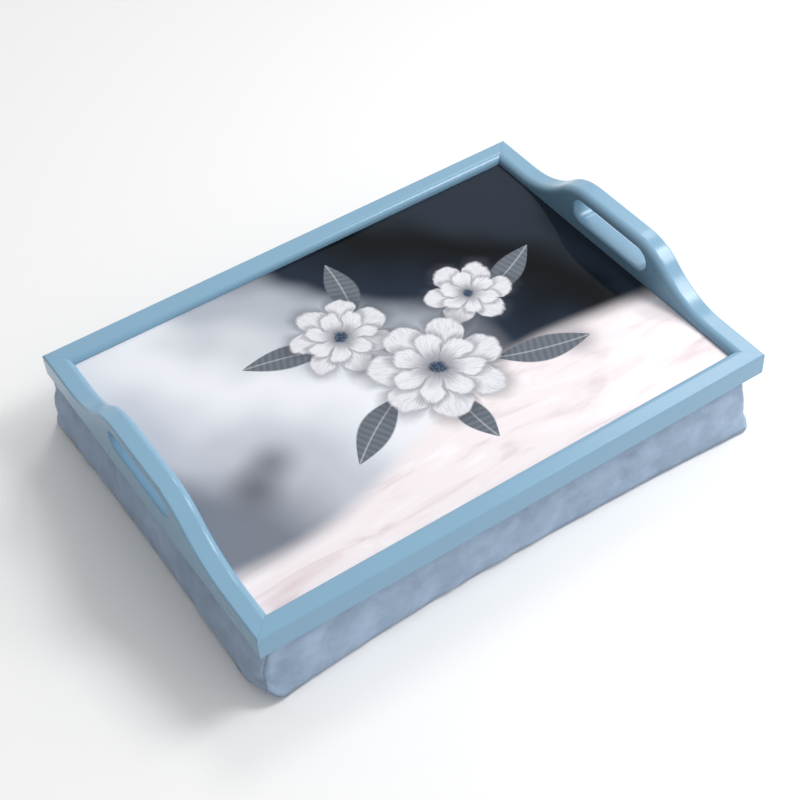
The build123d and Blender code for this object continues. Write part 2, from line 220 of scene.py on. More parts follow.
def mitre_group():
    """Fine dark line where two rails meet, along the tray's corner diagonals."""
    tree, given = new_group("mitre_line", {"Place": Vector(), "Line width": 0.3 * MM}, {"Line": float})
    parts = split(tree, given["Place"])
    from_end = minus(tree, half_length, maths(tree, "ABSOLUTE", parts[0]))
    from_side = minus(tree, half_width, maths(tree, "ABSOLUTE", parts[1]))
    gap = maths(tree, "ABSOLUTE", minus(tree, from_end, from_side))
    put(tree, "NodeGroupOutput", {"Line": smooth_step(tree, gap, 0.0, given["Line width"], 1.0, 0.0)})
    return tree


mottle = mottle_group()
weave = weave_group()
mitre_line = mitre_group()


def mottled(tree, place, colour, patch_scale, patch_depth, grain_scale, grain_depth):
    """The mottle group's outputs: patches and grains to the metre, and their share of the colour."""
    return use_group(tree, mottle, {
        "Place": place, "Colour": colour, "Patch scale": patch_scale, "Patch depth": patch_depth,
        "Grain scale": grain_scale, "Grain depth": grain_depth})


def woven(tree, place, threads, unevenness):
    """Height of a plain weave with this many threads to the metre."""
    sockets = {"Place": place, "Threads per metre": threads, "Unevenness": unevenness}
    return use_group(tree, weave, sockets)["Height"]


def new_material(name, **shader_values):
    """A material with its shader, its tree and its place in metres."""
    material = bpy.data.materials.new(name)
    material.use_nodes = True
    tree = material.node_tree
    shader = tree.nodes["Principled BSDF"]
    for key, value in shader_values.items():
        shader.inputs[key.replace("_", " ")].default_value = value
    place = put(tree, "ShaderNodeTexCoord").outputs["Object"]
    return material, tree, shader, place


def bump(tree, shader, height, depth, strength=1.0):
    made = put(tree, "ShaderNodeBump", {"Height": height, "Distance": depth, "Strength": strength})
    tree.links.new(made.outputs[0], shader.inputs["Normal"])


def wire(tree, shader, **sources):
    for key, source in sources.items():
        tree.links.new(source, shader.inputs[key.replace("_", " ")])


# Finishes

PAINT = linear(130, 170, 196)
CLOTH = linear(152, 172, 195)


def painted_wood(name, along_x):
    """Satin blue paint on a wooden rail, with a trace of the grain and brush marks under it."""
    material, tree, shader, place = new_material(
        name, Specular_IOR_Level=0.15, Coat_Weight=0.5, Coat_Roughness=0.18)
    look = mottled(tree, place, PAINT, 14.0, 0.10, 900.0, 0.05)
    grain_place = stretched(tree, place, (12, 260, 260) if along_x else (260, 12, 260))
    grain = noise_value(tree, grain_place, 1.0, 3.0, 0.55)
    line = use_group(tree, mitre_line, {"Place": place})["Line"]
    coloured = blend_colour(tree, times(tree, line, 0.45), look["Colour"], linear(52, 84, 108))
    rough = smooth_step(tree, look["Patch"], 0.3, 0.7, 0.26, 0.36)
    wire(tree, shader, Base_Color=coloured, Roughness=rough)
    height = minus(tree, grain, line)
    bump(tree, shader, height, 0.12 * MM, 0.35)
    return material


def soft_disc(tree, place, centre, size, blur):
    """Round spot with a soft edge: 1 inside, 0 outside."""
    reach = vector_maths(tree, "SUBTRACT", place, centre)
    distance = put(tree, "ShaderNodeVectorMath", {0: reach}, operation="LENGTH").outputs["Value"]
    return smooth_step(tree, distance, size - blur, size + blur, 1.0, 0.0)


def blossom_group():
    """Open flower seen from above: a mask, and its colour with creases, veins and a dark heart."""
    tree, given = new_group(
        "blossom",
        {"Place": Vector(), "Centre": Vector(), "Size": 0.05, "Turn": 0.0, "Petals": 6.0, "Blur": 0.04,
         "Petal": (0.8, 0.8, 0.85, 1.0), "Shade": (0.2, 0.21, 0.24, 1.0), "Heart": (0.02, 0.05, 0.1, 1.0)},
        {"Mask": float, "Colour": tuple, "Shadow": float},
    )
    ruffle = put(tree, "ShaderNodeTexNoise", {"Vector": given["Place"], "Scale": 60.0, "Detail": 3.0})
    stray = vector_maths(tree, "SUBTRACT", ruffle.outputs["Color"], (0.5, 0.5, 0.5))
    sway = vector_maths(tree, "MULTIPLY", stray, (0.012, 0.012, 0))
    reach = vector_maths(tree, "ADD", vector_maths(tree, "SUBTRACT", given["Place"], given["Centre"]), sway)
    parts = split(tree, reach)
    flat = put(tree, "ShaderNodeCombineXYZ", {0: parts[0], 1: parts[1]}).outputs[0]
    distance = put(tree, "ShaderNodeVectorMath", {0: flat}, operation="LENGTH").outputs["Value"]
    radius = maths(tree, "DIVIDE", distance, given["Size"])
    angle = plus(tree, maths(tree, "ARCTAN2", parts[1], parts[0]), given["Turn"])
    half_turn = times(tree, times(tree, angle, given["Petals"]), 0.5)
    lobe = maths(tree, "ABSOLUTE", maths(tree, "COSINE", half_turn))
    inner_lobe = maths(tree, "ABSOLUTE", maths(tree, "SINE", half_turn))
    edge = maths(tree, "MULTIPLY_ADD", maths(tree, "POWER", lobe, 0.55), 0.38, 0.62)
    inner_edge = maths(tree, "MULTIPLY_ADD", maths(tree, "POWER", inner_lobe, 0.6), 0.28, 0.40)
    blur = given["Blur"]
    blur_start = times(tree, blur, -1.0)
    past_edge = minus(tree, radius, edge)
    past_inner = minus(tree, radius, inner_edge)
    mask = smooth_step(tree, past_edge, blur_start, blur, 1.0, 0.0)
    inner = smooth_step(tree, past_inner, blur_start, blur, 1.0, 0.0)
    rays = put(tree, "ShaderNodeCombineXYZ", {
        0: times(tree, maths(tree, "COSINE", angle), 9.0),
        1: times(tree, maths(tree, "SINE", angle), 9.0),
        2: times(tree, radius, 1.4)}).outputs[0]
    veins = noise_value(tree, rays, 3.2, 4.0, 0.6)
    crease = smooth_step(tree, lobe, 0.0, 0.55, 0.75, 0.0)
    inner_crease = smooth_step(tree, inner_lobe, 0.0, 0.5, 0.7, 0.0)
    hollow = smooth_step(tree, radius, 0.12, 0.75, 0.75, 0.05)
    under_inner = smooth_step(tree, past_inner, 0.0, 0.22, 0.6, 0.0)
    outer_shade = maths(tree, "MAXIMUM", maths(tree, "MAXIMUM", crease, under_inner), hollow)
    inner_shade = maths(tree, "MAXIMUM", inner_crease, smooth_step(tree, radius, 0.08, 0.5, 0.85, 0.0))
    shade = put(tree, "ShaderNodeMix", {0: inner, 2: outer_shade, 3: inner_shade}).outputs[0]
    streaked = plus(tree, shade, smooth_step(tree, veins, 0.42, 0.8, 0.0, 0.4), clamp=True)
    petals = blend_colour(tree, streaked, given["Petal"], given["Shade"])
    dots = noise_value(tree, given["Place"], 700.0, 1.0)
    heart = times(tree, smooth_step(tree, radius, 0.09, 0.17, 1.0, 0.0),
                  smooth_step(tree, dots, 0.38, 0.52, 0.55, 1.0))
    shadow = smooth_step(tree, past_edge, -0.05, 0.32, 1.0, 0.0)
    coloured = blend_colour(tree, heart, petals, given["Heart"])
    put(tree, "NodeGroupOutput", {"Mask": mask, "Colour": coloured, "Shadow": shadow})
    return tree


def leaf_group():
    """Pointed leaf with a midrib, seen from above."""
    tree, given = new_group(
        "leaf",
        {"Place": Vector(), "Base": Vector(), "Length": 0.06, "Breadth": 0.014, "Turn": 0.0, "Blur": 0.08,
         "Leaf": (0.12, 0.14, 0.17, 1.0), "Rib": (0.45, 0.47, 0.5, 1.0)},
        {"Mask": float, "Colour": tuple},
    )
    reach = vector_maths(tree, "SUBTRACT", given["Place"], given["Base"])
    turned = put(tree, "ShaderNodeVectorRotate", {"Vector": reach, "Angle": given["Turn"]},
                 rotation_type="Z_AXIS").outputs[0]
    parts = split(tree, turned)
    along = maths(tree, "DIVIDE", parts[0], given["Length"])
    on_leaf = maths(tree, "MINIMUM", maths(tree, "MAXIMUM", along, 0.0), 1.0)
    arch = maths(tree, "SINE", times(tree, on_leaf, math.pi))
    half_breadth = times(tree, arch, given["Breadth"])
    sweep = times(tree, given["Breadth"], 0.8)
    bow = times(tree, times(tree, along, along), sweep)
    across = maths(tree, "ABSOLUTE", minus(tree, parts[1], bow))
    share = maths(tree, "DIVIDE", across, maths(tree, "MAXIMUM", half_breadth, 0.0001))
    blur_start = minus(tree, 1.0, given["Blur"])
    blur_end = plus(tree, 1.0, given["Blur"])
    leaf_side = smooth_step(tree, share, blur_start, blur_end, 1.0, 0.0)
    from_middle = maths(tree, "ABSOLUTE", minus(tree, along, 0.5))
    from_tips = minus(tree, 0.5, from_middle)
    mask = times(tree, leaf_side, smooth_step(tree, from_tips, 0.0, 0.02))
    rib = smooth_step(tree, across, 0.0, 0.0012, 0.7, 0.0)
    waves = {"Vector": turned, "Scale": 60.0, "Distortion": 1.5, "Detail": 1.0}
    veins = put(tree, "ShaderNodeTexWave", waves)
    ribbed = plus(tree, rib, times(tree, veins.outputs["Fac"], 0.14), clamp=True)
    coloured = blend_colour(tree, ribbed, given["Leaf"], given["Rib"])
    put(tree, "NodeGroupOutput", {"Mask": mask, "Colour": coloured})
    return tree


def shape_ramp(ramp, stops):
    """Give a colour ramp these stops, each a place from 0 to 1 and a colour."""
    ramp.interpolation = "EASE"
    while len(ramp.elements) < len(stops):
        ramp.elements.new(1.0)
    for element, (position, colour) in zip(ramp.elements, stops):
        element.position = position
        element.color = colour


# The print. Flowers: place on the tray, size, turn in degrees, petals, softness of the edge
BLOSSOMS = (
    ((0.085, 0.030), 0.034, 20, 6.0, 0.05),
    ((-0.020, 0.048), 0.040, 45, 7.0, 0.04),
    ((0.020, -0.022), 0.052, 5, 7.0, 0.035),
)
# Leaves: place of the base, length, breadth, turn in degrees
LEAVES = (
    ((0.060, -0.040), 0.075, 0.013, -25),
    ((0.090, 0.020), 0.070, 0.012, 15),
    ((0.000, 0.060), 0.065, 0.012, 70),
    ((-0.030, 0.040), 0.072, 0.012, 155),
    ((-0.020, -0.030), 0.070, 0.013, 205),
    ((0.015, -0.050), 0.055, 0.011, 262),
)
# Twigs: place, size, blur, colour, strength
TWIGS = (
    ((-0.150, -0.045, 0), 0.016, 0.016, linear(84, 88, 96), 0.75),
    ((-0.128, -0.030, 0), 0.014, 0.015, linear(96, 100, 108), 0.7),
    ((0.120, -0.060, 0), 0.012, 0.012, linear(90, 94, 102), 0.6),
)
# Colour stops of the blurred backdrop and of the blush cloth
BACKDROP = (
    (0.0, linear(122, 128, 140)), (0.18, linear(192, 196, 206)), (0.40, linear(234, 237, 243)),
    (0.54, linear(178, 184, 194)), (0.66, linear(30, 42, 58)), (0.82, linear(4, 8, 14)),
    (0.95, linear(40, 48, 60)),
)
BLUSH = ((0.25, linear(222, 208, 212)), (0.5, linear(240, 232, 235)), (0.8, linear(247, 244, 247)))


def printed_laminate():
    """Glossy print: pale flowers with slate leaves on blush cloth, before a blurred slate backdrop."""
    material, tree, shader, place = new_material(
        "printed_laminate", Roughness=0.06, IOR=1.40, Specular_IOR_Level=0.14)
    parts = split(tree, place)
    flat = put(tree, "ShaderNodeCombineXYZ", {0: parts[0], 1: parts[1]}).outputs[0]
    x, y = parts[0], parts[1]
    drift = noise_value(tree, flat, 7.0, 2.0)
    # Window light at the left turns into slate shadow at the back and right
    slope = plus(tree, times(tree, x, 4.2), times(tree, y, 3.0))
    waver = times(tree, minus(tree, drift, 0.5), 0.9)
    fall = plus(tree, slope, waver)
    backdrop = put(tree, "ShaderNodeValToRGB", {"Fac": maths(tree, "MULTIPLY_ADD", fall, 0.5, 0.5)})
    shape_ramp(backdrop.color_ramp, BACKDROP)
    colour = backdrop.outputs["Color"]
    # Blush cloth in front, along a rolling line
    roll = times(tree, maths(tree, "SINE", maths(tree, "MULTIPLY_ADD", x, 17.0, 0.6)), 0.016)
    rise = maths(tree, "MULTIPLY_ADD", x, 0.14, -0.070)
    front = minus(tree, minus(tree, y, rise), roll)
    cloth_mask = smooth_step(tree, front, -0.010, 0.012, 1.0, 0.0)
    folds = noise_value(tree, stretched(tree, flat, (14, 60, 1)), 1.0, 3.0, 0.5, 0.8)
    blush = put(tree, "ShaderNodeValToRGB", {"Fac": folds})
    shape_ramp(blush.color_ramp, BLUSH)
    colour = blend_colour(tree, cloth_mask, colour, blush.outputs["Color"])
    # Out-of-focus twigs
    for centre, size, blur, tone, strength in TWIGS:
        spot = soft_disc(tree, flat, centre, size, blur)
        colour = blend_colour(tree, times(tree, spot, strength), colour, tone)
    leaf, blossom = leaf_group(), blossom_group()
    for base, length, breadth, degrees in LEAVES:
        made = use_group(tree, leaf, {"Place": flat, "Base": (*base, 0), "Length": length, "Breadth": breadth,
                                      "Turn": math.radians(-degrees)})
        colour = blend_colour(tree, made["Mask"], colour, made["Colour"])
    for centre, size, degrees, petals, softness in BLOSSOMS:
        made = use_group(tree, blossom, {"Place": flat, "Centre": (*centre, 0), "Size": size,
                                         "Turn": math.radians(degrees), "Petals": petals, "Blur": softness})
        colour = blend_colour(tree, times(tree, made["Shadow"], 0.5), colour, linear(70, 74, 84))
        colour = blend_colour(tree, made["Mask"], colour, made["Colour"])
    grain = noise_value(tree, flat, 1400.0, 2.0)
    level = maths(tree, "MULTIPLY_ADD", grain, 0.08, 0.96)
    wire(tree, shader, Base_Color=vector_maths(tree, "MULTIPLY", colour, level))
    bump(tree, shader, noise_value(tree, flat, 22.0, 1.0), 0.05 * MM, 0.10)
    return material


def hardboard():
    """Brown pressed fibre with a fine screen print on its rough side."""
    material, tree, shader, place = new_material("hardboard", Roughness=0.85)
    look = mottled(tree, place, linear(126, 92, 66), 30.0, 0.18, 1500.0, 0.5)
    screen = woven(tree, place, 700.0, 0.3)
    wire(tree, shader, Base_Color=look["Colour"])
    bump(tree, shader, maths(tree, "MULTIPLY_ADD", screen, 0.6, look["Grain"]), 0.15 * MM, 0.6)
    return material


def nap_fabric():
    """Blue-grey brushed cloth: soft patches where the nap lies another way, a fine pile, and painted shade
    that darkens it along its seams.
    """
    material, tree, shader, place = new_material(
        "nap_fabric", Roughness=0.92, Sheen_Weight=0.35, Sheen_Roughness=0.45,
        Sheen_Tint=linear(214, 224, 240))
    broad = mottled(tree, stretched(tree, place, (1, 1, 1.7)), CLOTH, 26.0, 0.6, 1100.0, 0.22)
    nap = mottled(tree, place, broad["Colour"], 95.0, 0.35, 260.0, 0.18)
    # Painted shade: the cloth's colour darkens along the seams, standing in for the shade in the seam creases
    # and in the groove under the rails.
    seam = put(tree, "ShaderNodeAttribute", attribute_name="seam_shade").outputs["Fac"]
    painted_seam_shade = times(tree, maths(tree, "POWER", seam, 2.0), 0.6)
    coloured = blend_colour(tree, painted_seam_shade, nap["Colour"], linear(84, 100, 128))
    wire(tree, shader, Base_Color=coloured)
    threads = woven(tree, place, 1900.0, 0.6)
    pile = maths(tree, "MULTIPLY_ADD", broad["Grain"], 0.8, times(tree, threads, 0.25))
    bump(tree, shader, maths(tree, "MULTIPLY_ADD", nap["Patch"], 1.6, pile), 0.25 * MM, 0.45)
    return material


def bag_fabric():
    """Thin white bag cloth that shows the beads behind it."""
    material, tree, shader, place = new_material("bag_fabric", Roughness=0.9)
    look = mottled(tree, place, linear(226, 226, 222), 40.0, 0.08, 900.0, 0.08)
    beads = put(tree, "ShaderNodeTexVoronoi", {"Vector": place, "Scale": 300.0}).outputs["Distance"]
    wire(tree, shader, Base_Color=look["Colour"])
    bump(tree, shader, minus(tree, 1.0, beads), 0.5 * MM, 0.7)
    return material


def fastening_pile(name, colour, pile_scale, depth):
    """Hook or loop pile on its woven ground."""
    material, tree, shader, place = new_material(name, Roughness=0.8, Sheen_Weight=0.2)
    look = mottled(tree, place, colour, 60.0, 0.2, pile_scale, 0.7)
    threads = woven(tree, place, 1100.0, 0.3)
    wire(tree, shader, Base_Color=look["Colour"])
    bump(tree, shader, maths(tree, "MULTIPLY_ADD", look["Grain"], 1.5, threads), depth, 0.8)
    return material


def zip_weave():
    """Herringbone tape of the zip."""
    material, tree, shader, place = new_material("zip_weave", Roughness=0.75, Sheen_Weight=0.15)
    look = mottled(tree, place, linear(104, 122, 150), 80.0, 0.15, 1600.0, 0.2)
    ribs = put(tree, "ShaderNodeTexWave", {"Vector": place, "Scale": 320.0, "Distortion": 0.4},
               wave_type="BANDS", bands_direction="DIAGONAL").outputs["Fac"]
    wire(tree, shader, Base_Color=look["Colour"])
    bump(tree, shader, maths(tree, "MULTIPLY_ADD", ribs, 0.6, look["Grain"]), 0.12 * MM, 0.7)
    return material


def moulded_coil():
    material, tree, shader, place = new_material("moulded_coil")
    look = mottled(tree, place, linear(92, 112, 142), 120.0, 0.12, 2500.0, 0.08)
    wire(tree, shader, Base_Color=look["Colour"],
         Roughness=smooth_step(tree, look["Grain"], 0.3, 0.7, 0.32, 0.48))
    bump(tree, shader, look["Grain"], 0.02 * MM, 0.3)
    return material


def plated_metal(name, colour, rough_low, rough_high, streaks):
    """Metal with fine rubbing marks and slightly uneven shine."""
    material, tree, shader, place = new_material(name, Metallic=1.0)
    look = mottled(tree, place, colour, 160.0, 0.15, 2400.0, 0.06)
    marks = noise_value(tree, stretched(tree, place, streaks), 1.0, 3.0, 0.6)
    wire(tree, shader, Base_Color=look["Colour"],
         Roughness=smooth_step(tree, marks, 0.3, 0.7, rough_low, rough_high))
    bump(tree, shader, marks, 0.02 * MM, 0.25)
    return material


def sewing_thread():
    material, tree, shader, place = new_material("sewing_thread", Roughness=0.6, Sheen_Weight=0.2)
    look = mottled(tree, place, linear(128, 148, 178), 200.0, 0.1, 3000.0, 0.25)
    twist = put(tree, "ShaderNodeTexWave", {"Vector": place, "Scale": 1400.0},
                bands_direction="DIAGONAL").outputs["Fac"]
    wire(tree, shader, Base_Color=look["Colour"])
    bump(tree, shader, twist, 0.05 * MM, 0.6)
    return material


def dress(thing, material):
    """Give a piece or a node one finish all over."""
    thing.data.materials.clear()
    thing.data.materials.append(material)


long_paint = painted_wood("painted_wood_long", True)
short_paint = painted_wood("painted_wood_short", False)
for name in ("front_rail", "back_rail"):
    dress(nodes[name], long_paint)
for name in ("left_handle_rail", "right_handle_rail"):
    dress(nodes[name], short_paint)
dress(nodes["print_sheet"], printed_laminate())
dress(nodes["tray_board"], hardboard())
zip_plating = plated_metal("zip_plating", linear(196, 198, 202), 0.16, 0.30, (300, 300, 40))
for name in ("zip_stops", "zip_slider", "zip_pull"):
    dress(nodes[name], zip_plating)
dress(nodes["corner_v_nails"], plated_metal("nail_steel", linear(170, 170, 172), 0.3, 0.5, (40, 40, 900)))
cover_cloth, bag_cloth = nap_fabric(), bag_fabric()
hook_pile = fastening_pile("hook_pile", linear(38, 44, 54), 2200.0, 0.35 * MM)
loop_pile = fastening_pile("loop_pile", linear(92, 108, 134), 1500.0, 0.5 * MM)
zip_cloth, coil_plastic, thread = zip_weave(), moulded_coil(), sewing_thread()


# Meshes

def new_piece(name, mesh, material, smooth=True):
    thing = bpy.data.objects.new(name, mesh)
    scene.collection.objects.link(thing)
    dress(thing, material)
    if smooth:
        mesh.shade_smooth()
    return thing


def mesh_from(name, build):
    """A mesh that build fills through bmesh."""
    made = bmesh.new()
    build(made)
    bmesh.ops.recalc_face_normals(made, faces=made.faces)
    mesh = bpy.data.meshes.new(name)
    made.to_mesh(mesh)
    made.free()
    return mesh


# Cushion form

column_step = 5 * MM
corner_columns, wall_rows, window_rows = 3, 4, 3
ends_columns = round(2 * (base_half_y - corner_radius) / column_step)
sides_columns = round(2 * (base_half_x - corner_radius) / column_step)


def side_places(columns):
    """Places along one straight side: (share of the straight run, turn into the corner arc)."""
    turns = [math.radians(45 - 45 * n / corner_columns) for n in range(corner_columns)]
    run = [(2 * n / columns - 1, 0.0) for n in range(columns + 1)]
    return [(-1.0, -turn) for turn in turns] + run + [(1.0, turn) for turn in reversed(turns)]


def side_point(place, half_along, half_across, draw, flat_share=0.0):
    """Point on one side of a rounded outline, as (along, across) from the outline's centre."""
    share, turn = place
    straight = half_along - corner_radius
    if turn:
        along = math.copysign(straight + corner_radius * math.sin(abs(turn)), turn)
        return along, half_across - corner_radius * (1 - math.cos(turn))
    past_flat = max(abs(share) - flat_share, 0.0) / (1 - flat_share)
    return share * straight, half_across - draw * (1 - past_flat ** 2)


def wall_halves(height, inset):
    """Half sizes of the cushion's outline at a height of its walls."""
    share = (height - base_seam) / (top_seam - base_seam)
    bulge = wall_bulge * (1 - (2 * share - 1) ** 2)
    half_x = base_half_x + (top_half_x - base_half_x) * share + bulge - inset
    half_y = base_half_y + (top_half_y - base_half_y) * share + bulge - inset
    return half_x, half_y


def outline(height, inset):
    """The outline's four sides, each a row of points from one corner to the next."""
    half_x, half_y = wall_halves(height, inset)
    zip_flat = (half_x - corner_radius - zip_flare) / (half_x - corner_radius)
    fronts, ends = side_places(sides_columns), side_places(ends_columns)
    front = [side_point(p, half_x, half_y, side_draw) for p in fronts]
    back = [side_point(p, half_x, half_y, side_draw, zip_flat) for p in fronts]
    end = [side_point(p, half_y, half_x, end_draw) for p in ends]
    return {
        "front": [Vector((cushion_shift + x, -y, height)) for x, y in front],
        "back": [Vector((cushion_shift + x, y, height)) for x, y in back],
        "left": [Vector((cushion_shift - x, y, height)) for y, x in end],
        "right": [Vector((cushion_shift + x, y, height)) for y, x in end],
    }


def edge_distance(point, halves):
    """Distance in from the outline, rounded off where two sides are equally near."""
    near_x = halves[0] - abs(point.x - cushion_shift)
    near_y = halves[1] - abs(point.y)
    close = max(corner_blend - abs(near_x - near_y), 0.0) / corner_blend
    return max(min(near_x, near_y) - close * close * corner_blend / 4, 0.0)


def crown_height(distance):
    """Height of the cover's top at a distance in from the top seam."""
    shoulder = top_seam + shoulder_rise * math.sqrt(min(distance / shoulder_run, 1.0))
    climb = min(max(distance - crown_foot, 0.0) / crown_run, 1.0)
    return shoulder + (crown_top - top_seam - shoulder_rise) * (1 - (1 - climb) ** crown_power)


def base_height(distance):
    return base_seam * max(1 - distance / base_curve_run, 0.0) ** 2


def filled(ring, profile, inset, lift):
    """Grid of points that fills an outline, lifted to a profile of the distance from its edge."""
    columns, rows = len(ring["front"]), len(ring["left"])
    halves = wall_halves(ring["front"][0].z, inset)
    corners = ring["front"][0], ring["front"][-1], ring["back"][0], ring["back"][-1]
    grid = []
    for j in range(rows):
        t = (ring["left"][j].y - corners[0].y) / (corners[2].y - corners[0].y)
        line = []
        for i in range(columns):
            s = (ring["front"][i].x - corners[0].x) / (corners[1].x - corners[0].x)
            across = ring["front"][i].lerp(ring["back"][i], t) + ring["left"][j].lerp(ring["right"][j], s)
            point = across - corners[0].lerp(corners[1], s).lerp(corners[2].lerp(corners[3], s), t)
            if 0 < i < columns - 1 and 0 < j < rows - 1:
                point.z = profile(edge_distance(point, halves)) + lift
            line.append(point)
        grid.append(line)
    return grid


def cushion_bmesh(made, inset, face_inset):
    """Closed cushion of even quads, with a seam mark on each vertex of a seam; the cloth's colour darkens
    there as painted shade.
    """
    seam_layer = made.verts.layers.float.new("seam_shade")
    hold_layer = made.verts.layers.float.new("hold")
    window_layer = made.faces.layers.int.new("window")
    known = {}

    def corner_of(point):
        key = tuple(round(c * 1e6) for c in point)
        if key not in known:
            known[key] = made.verts.new(point)
        return known[key]

    heights = [base_seam + face_inset / 2]
    window_low, window_high = zip_middle - window_half, zip_middle + window_half
    heights += [base_seam + (window_low - base_seam) * n / wall_rows for n in range(1, wall_rows)]
    heights += [window_low + 2 * window_half * n / window_rows for n in range(window_rows + 1)]
    heights += [window_high + (top_seam - face_inset - window_high) * n / wall_rows
                for n in range(1, wall_rows + 1)]
    rings = [outline(height, inset) for height in heights]
    for side in ("front", "right", "back", "left"):
        columns = len(rings[0][side])
        for low, high in zip(rings, rings[1:]):
            for n in range(columns - 1):
                quad = [low[side][n], low[side][n + 1], high[side][n + 1], high[side][n]]
                face = made.faces.new([corner_of(p) for p in quad])
                middle = (quad[0] + quad[2]) / 2
                in_window = (abs(middle.x - cushion_shift) < window_reach
                             and abs(middle.z - zip_middle) < window_half)
                face[window_layer] = int(side == "back" and in_window)
    for ring, profile, lift in ((rings[0], base_height, face_inset), (rings[-1], crown_height, -face_inset)):
        grid = filled(ring, profile, inset, lift)
        for low, high in zip(grid, grid[1:]):
            for n in range(len(low) - 1):
                made.faces.new([corner_of(p) for p in (low[n], low[n + 1], high[n + 1], high[n])])
    for ring in (rings[0], rings[-1]):
        for row in ring.values():
            for point in row:
                corner_of(point)[seam_layer] = 1.0
    for ring in rings:
        for row in (ring["front"], ring["back"]):
            for point in (row[0], row[-1]):
                corner_of(point)[seam_layer] = 1.0
    for vertex in made.verts:
        near_window = (vertex.co.y > base_half_y / 2
                       and abs(vertex.co.x - cushion_shift) < window_reach + pull_overhang
                       and abs(vertex.co.z - zip_middle) < window_half + window_margin)
        on_floor = vertex.co.z < floor_margin + face_inset
        vertex[hold_layer] = max(vertex[seam_layer], float(near_window), float(on_floor))
    crease_layer = made.edges.layers.float.new("crease_edge")
    for edge in made.edges:
        edge[crease_layer] = seam_crease * min(vertex[seam_layer] for vertex in edge.verts)


def swell(piece, pressure, frames, most):
    """Let the cloth puff between its seams, then keep every point within reach of its start."""
    start = [vertex.co.copy() for vertex in piece.data.vertices]
    held = piece.vertex_groups.new(name="held")
    holds = piece.data.attributes["hold"].data
    for index, item in enumerate(holds):
        held.add([index], item.value, "REPLACE")
    cloth = piece.modifiers.new("cloth", "CLOTH")
    settings = cloth.settings
    settings.quality = 6
    settings.mass = 0.3
    settings.use_pressure = True
    settings.uniform_pressure_force = pressure
    settings.vertex_group_mass = "held"
    settings.tension_stiffness = settings.compression_stiffness = 18
    settings.shear_stiffness = 6
    settings.bending_stiffness = 0.4
    settings.shrink_min = -0.035
    settings.effector_weights.gravity = 0
    cloth.collision_settings.use_collision = False
    cloth.point_cache.frame_start = 1
    cloth.point_cache.frame_end = frames
    for step in range(1, frames + 1):
        scene.frame_set(step)
    graph = bpy.context.evaluated_depsgraph_get()
    moved = [vertex.co.copy() for vertex in piece.evaluated_get(graph).data.vertices]
    piece.modifiers.clear()
    scene.frame_set(1)
    for vertex, before, after in zip(piece.data.vertices, start, moved):
        step = after - before
        reach = step.length
        if reach:
            vertex.co = before + step * (most * math.tanh(reach / most) / reach)


def settle_under_tray(point):
    """Keep a point of the cover below the rails and the board, and on the floor."""
    under_rail = abs(point.x) > print_high.x - rail_overlap or abs(point.y) > print_high.y - rail_overlap
    ceiling = rail_bottom - rail_clearance if under_rail else board_bottom - board_clearance
    return Vector((point.x, point.y, min(max(point.z, 0.0), ceiling)))


def seated(point):
    """Where a point of the neat form goes once the cushion is filled and stands on its foot."""
    along, across = (point.x - cushion_shift) / base_half_x, point.y / base_half_y
    foot = max(1 - point.z / top_seam, 0.0) ** foot_power
    low_foot = max(1 - point.z / (zip_middle - window_half), 0.0) ** foot_power
    tip = tip_push * math.exp(-((point.x - foot_tip) / tip_reach) ** 2)
    belly = front_sag * math.exp(-((along - sag_place) / sag_share) ** 2)
    sag = (right_sag * math.sin(right_sag_turn * max(along, 0.0)) + belly + tip) * max(-across, 0.0) ** 3
    swollen = back_swell * max(-along, 0.0) ** 3 * max(across, 0.0) ** 3
    x = point.x - left_spread * foot * max(-along, 0.0) ** 3 - swollen * (1 - foot)
    spread = side_spread * across ** 3 * (middle_spread + (1 - middle_spread) * along ** 2)
    y = point.y + low_foot * (spread - sag)
    away = math.hypot((x - lifted_corner.x) / lift_reach.x, (y - lifted_corner.y) / lift_reach.y)
    nearness = max(1 - away, 0.0)
    low_share = nearness * max(1 - point.z / lift_height, 0.0)
    placed = Vector((x, y, point.z)) + Vector((corner_draw, corner_draw, corner_lift)) * low_share
    dimple = math.exp(-((placed - dimple_place).length / dimple_reach) ** 2)
    return placed + Vector((0, dimple_depth, 0)) * dimple


def ripple(point, across, up, start):
    """Smooth noise with this many ripples to the metre across and up."""
    return noise.noise(Vector((point.x * across, point.y * across, point.z * up + start)))


def crumple(point):
    """Small puckers of the cloth, strongest beside the base seam."""
    above = max(point.z - base_seam, 0.0)
    fine = fine_height + seam_height * math.exp(-above / seam_ripple_reach)
    return fine * ripple(point, *fine_ripples) + broad_height * ripple(point, *broad_ripples)


